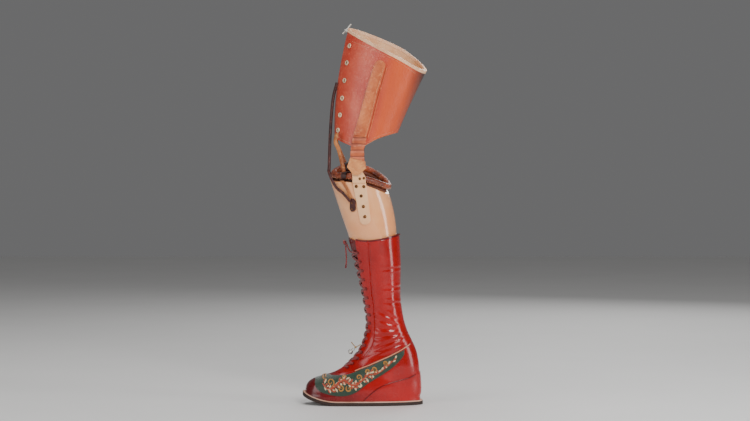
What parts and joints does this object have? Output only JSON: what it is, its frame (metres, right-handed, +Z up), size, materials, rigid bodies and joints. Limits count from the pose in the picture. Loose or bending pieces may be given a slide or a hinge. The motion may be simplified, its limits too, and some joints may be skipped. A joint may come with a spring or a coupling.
{
  "type": "prosthetic leg",
  "caption": "Below-knee leg: laced leather thigh corset on hinged steel side bars, flesh-coloured shin shell and knee-high glossy red lace-up wedge boot with an embroidered panel.",
  "frame": {"origin": "on the sole's flat face, straight below the knee axis", "axes": "-X towards the toe, +Y towards the outer side of a right leg, +Z up the leg"},
  "size_m": [0.2489, 0.1599, 0.7601],
  "materials": {
    "corset_leather": "worn smooth hide, salmon in front and orange behind",
    "lining_leather": "soft undyed hide",
    "rim_binding": "folded pale edge",
    "eyelet_metal": "tarnished",
    "white_cord": "twisted cotton",
    "steel": "worn",
    "bar_leather": "stitched sheath",
    "wrap_leather": "wound strip",
    "cap_leather": "pale worn hide",
    "bar_paint": "enamel, slightly chipped",
    "rivet_steel": "dull heads",
    "dark_strap": "dark red-brown with pale edge",
    "tan_strap": "worn tan",
    "shell_paint": "glossy flesh-coloured lacquer",
    "liner_leather": "dark moulded hide",
    "roll_leather": "padded, worn at the edge",
    "wood": "carved willow",
    "boot_red": "glossy patent, creased",
    "boot_dark_red": "satin burgundy",
    "green_silk": "silk with gold and orange embroidery",
    "red_lace": "flat woven lace",
    "sole_brown": "dark sole leather",
    "welt_tan": "pale edge strip",
    "insole_tan": "plain",
    "bell_silver": "polished",
    "gold_ribbon": "metallic thread"
  },
  "bodies": {
    "shank": {"knee_pin_medial": "steel", "lower_bar_medial": "bar_paint", "lower_rivets_medial": "rivet_steel", "tab_nails_medial": "rivet_steel", "roll_loop_medial": "dark_strap", "strap_tab_medial": "dark_strap", "anchor_strap_medial": "tan_strap", "knee_pin_lateral": "steel", "lower_bar_lateral": "bar_paint", "lower_rivets_lateral": "rivet_steel", "tab_nails_lateral": "rivet_steel", "roll_loop_lateral": "dark_strap", "strap_tab_lateral": "dark_strap", "anchor_strap_lateral": "tan_strap", "shin_shell": "shell_paint", "socket_liner": "liner_leather", "brim_roll": "roll_leather", "ankle_block": "wood", "foot_block": "wood", "ankle_bolt": "steel", "boot_shaft": "boot_red", "boot_vamp": "boot_red", "lacing_facing": "boot_red", "wedge_heel": "boot_red", "boot_toe_cap": "boot_dark_red", "boot_tongue": "boot_dark_red", "boot_top_binding": "boot_dark_red", "silk_panel": "green_silk", "boot_lace": "red_lace", "lace_bow": "red_lace", "lace_tail_medial": "red_lace", "lace_tail_lateral": "red_lace", "outsole": "sole_brown", "welt": "welt_tan", "insole": "insole_tan", "bell_ribbon": "gold_ribbon"},
    "thigh": {"corset_shell": "corset_leather", "corset_lining": "lining_leather", "corset_rim_binding": "rim_binding", "corset_eyelets": "eyelet_metal", "corset_tongue": "lining_leather", "tie_cord": "white_cord", "upper_bar_medial": "steel", "bar_cover_medial": "bar_leather", "bar_wrap_medial": "wrap_leather", "joint_cap_medial": "cap_leather", "front_strap_medial": "dark_strap", "side_strap_medial": "tan_strap", "upper_bar_lateral": "steel", "bar_cover_lateral": "bar_leather", "bar_wrap_lateral": "wrap_leather", "joint_cap_lateral": "cap_leather", "front_strap_lateral": "dark_strap", "side_strap_lateral": "tan_strap"},
    "bell": {"bell": "bell_silver", "bell_pellet": "bell_silver"}
  },
  "joints": [
    {"name": "knee", "type": "hinge", "parent": "shank", "child": "thigh", "pos_m": [0, 0, 0.478], "axis": [0, 1, 0], "range_deg": [-22, 65], "deforming": ["front_strap_medial", "front_strap_lateral", "side_strap_medial", "side_strap_lateral"]},
    {"name": "bell_swing", "type": "hinge", "parent": "shank", "child": "bell", "pos_m": [-0.001, 0, 0.113], "axis": [0, 1, 0], "range_deg": [-8, 45]}
  ]
}
